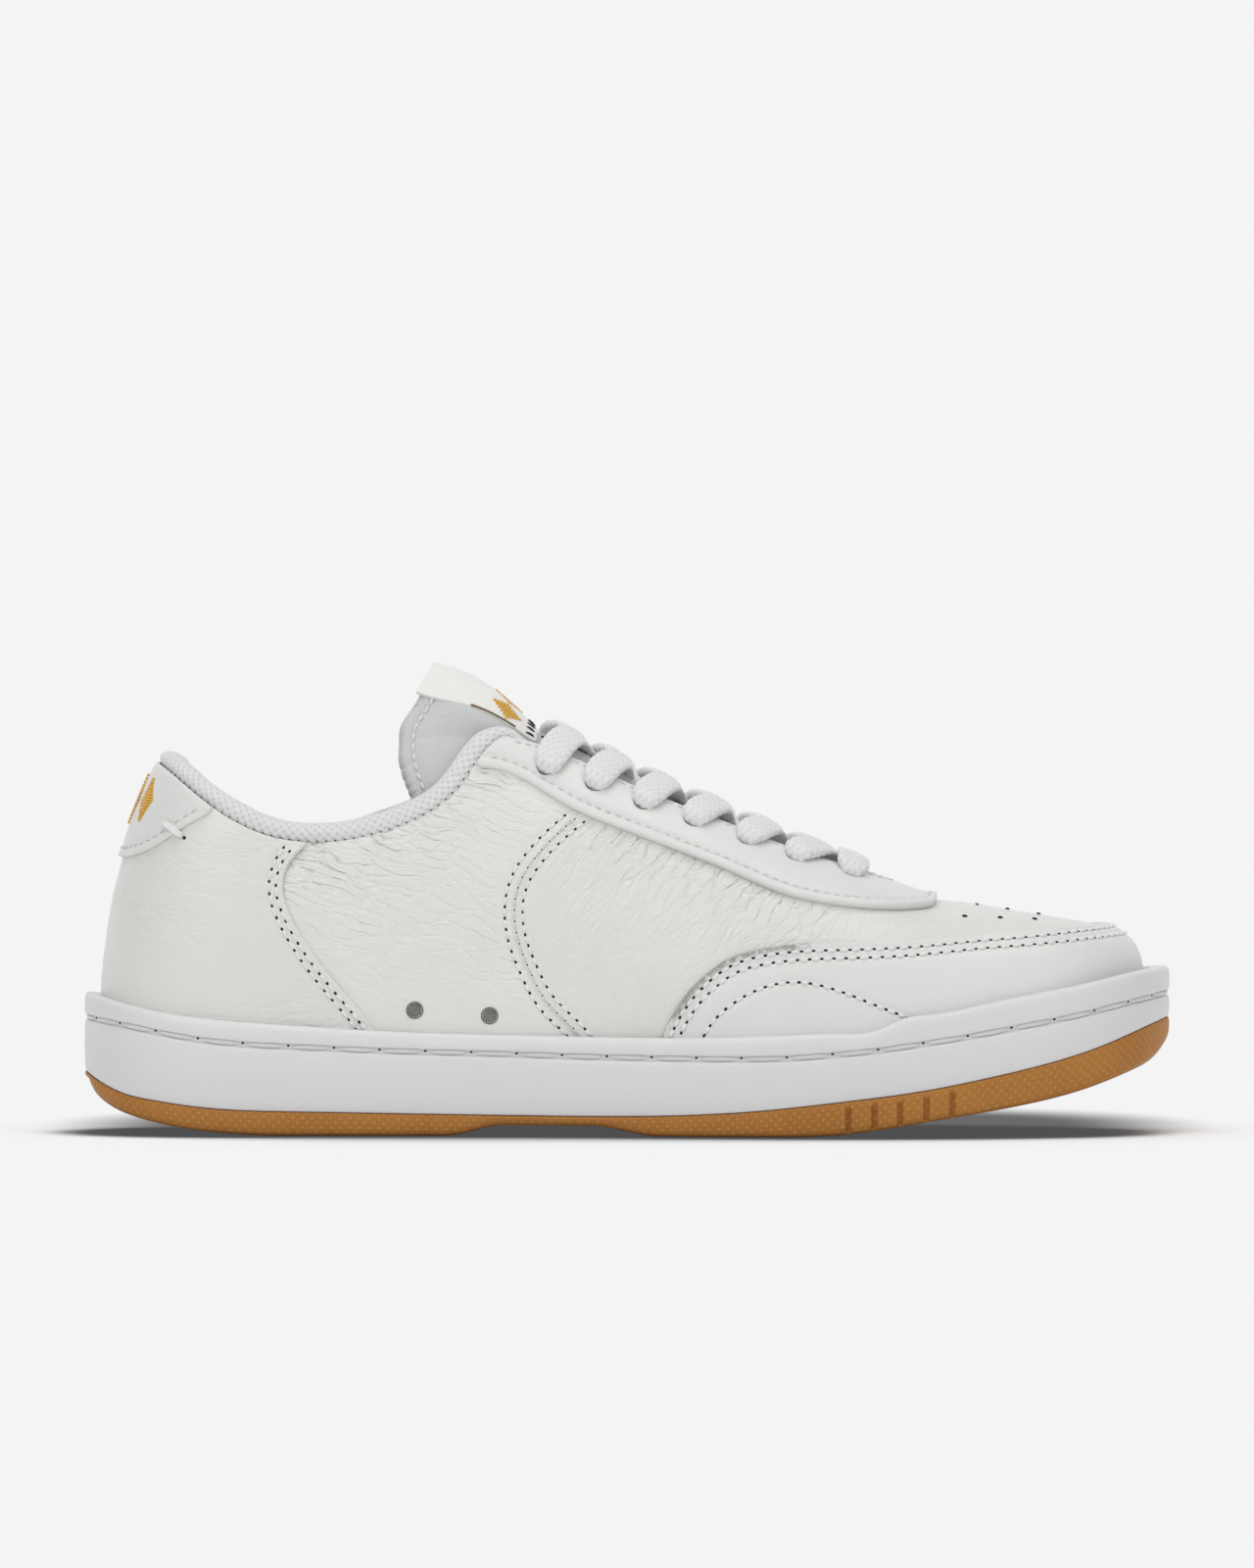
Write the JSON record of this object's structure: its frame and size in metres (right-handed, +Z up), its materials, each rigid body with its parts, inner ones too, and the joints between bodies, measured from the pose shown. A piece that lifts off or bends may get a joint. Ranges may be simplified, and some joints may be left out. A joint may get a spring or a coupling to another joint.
{
  "type": "court shoe",
  "caption": "Low-top leather court shoe for the left foot, white with a gum outsole, stitched cupsole, padded collar, flat lacing, hinged tongue and lift-out sockliner.",
  "frame": {"origin": "on the ground under the middle of the sole's length and width", "axes": "+X towards the toe, +Y towards the outer side of the left foot, +Z up"},
  "size_m": [0.2964, 0.1066, 0.1281],
  "materials": {
    "gum_rubber": "matte translucent gum",
    "white_rubber": "satin moulded",
    "white_thread": "waxed thread",
    "foam": "closed-cell foam",
    "lasting_board": "felted board",
    "knit_lining": "knitted textile",
    "white_leather": "tumbled grain",
    "eyelet_metal": "satin grey",
    "nylon": "fine woven nylon",
    "label_cloth": "woven cream label",
    "lace_cloth": "flat woven",
    "tip_plastic": "clear film"
  },
  "bodies": {
    "shoe": {"outsole": "gum_rubber", "cupsole": "white_rubber", "sidewall_stitching": "white_thread", "midsole_insert": "foam", "strobel_board": "lasting_board", "heel_quarter": "white_leather", "medial_mid_panel": "white_leather", "lateral_mid_panel": "white_leather", "vamp": "white_leather", "toe_overlay": "white_leather", "heel_tab": "white_leather", "eyestay": "white_leather", "heel_counter": "lasting_board", "toe_puff": "lasting_board", "collar_foam": "foam", "collar_lining": "knit_lining", "upper_lining": "knit_lining", "vent_eyelet_front": "eyelet_metal", "vent_eyelet_rear": "eyelet_metal", "lace": "lace_cloth", "lace_tip_medial": "tip_plastic", "lace_tip_lateral": "tip_plastic"},
    "tongue": {"tongue_face": "nylon", "tongue_foam": "foam", "tongue_lining": "knit_lining", "tongue_binding": "white_leather", "tongue_label": "label_cloth"},
    "sockliner": {"sockliner_foam": "foam", "sockliner_cover": "knit_lining"}
  },
  "joints": [
    {"name": "tongue_fold", "type": "hinge", "parent": "shoe", "child": "tongue", "pos_m": [0.0705, -0.0016, 0.063], "axis": [0, -1, 0], "range_deg": [0, 9]},
    {"name": "sockliner_lift", "type": "hinge", "parent": "shoe", "child": "sockliner", "pos_m": [0.1335, -0.0046, 0.034], "axis": [0, 1, 0], "range_deg": [0, 5]}
  ]
}
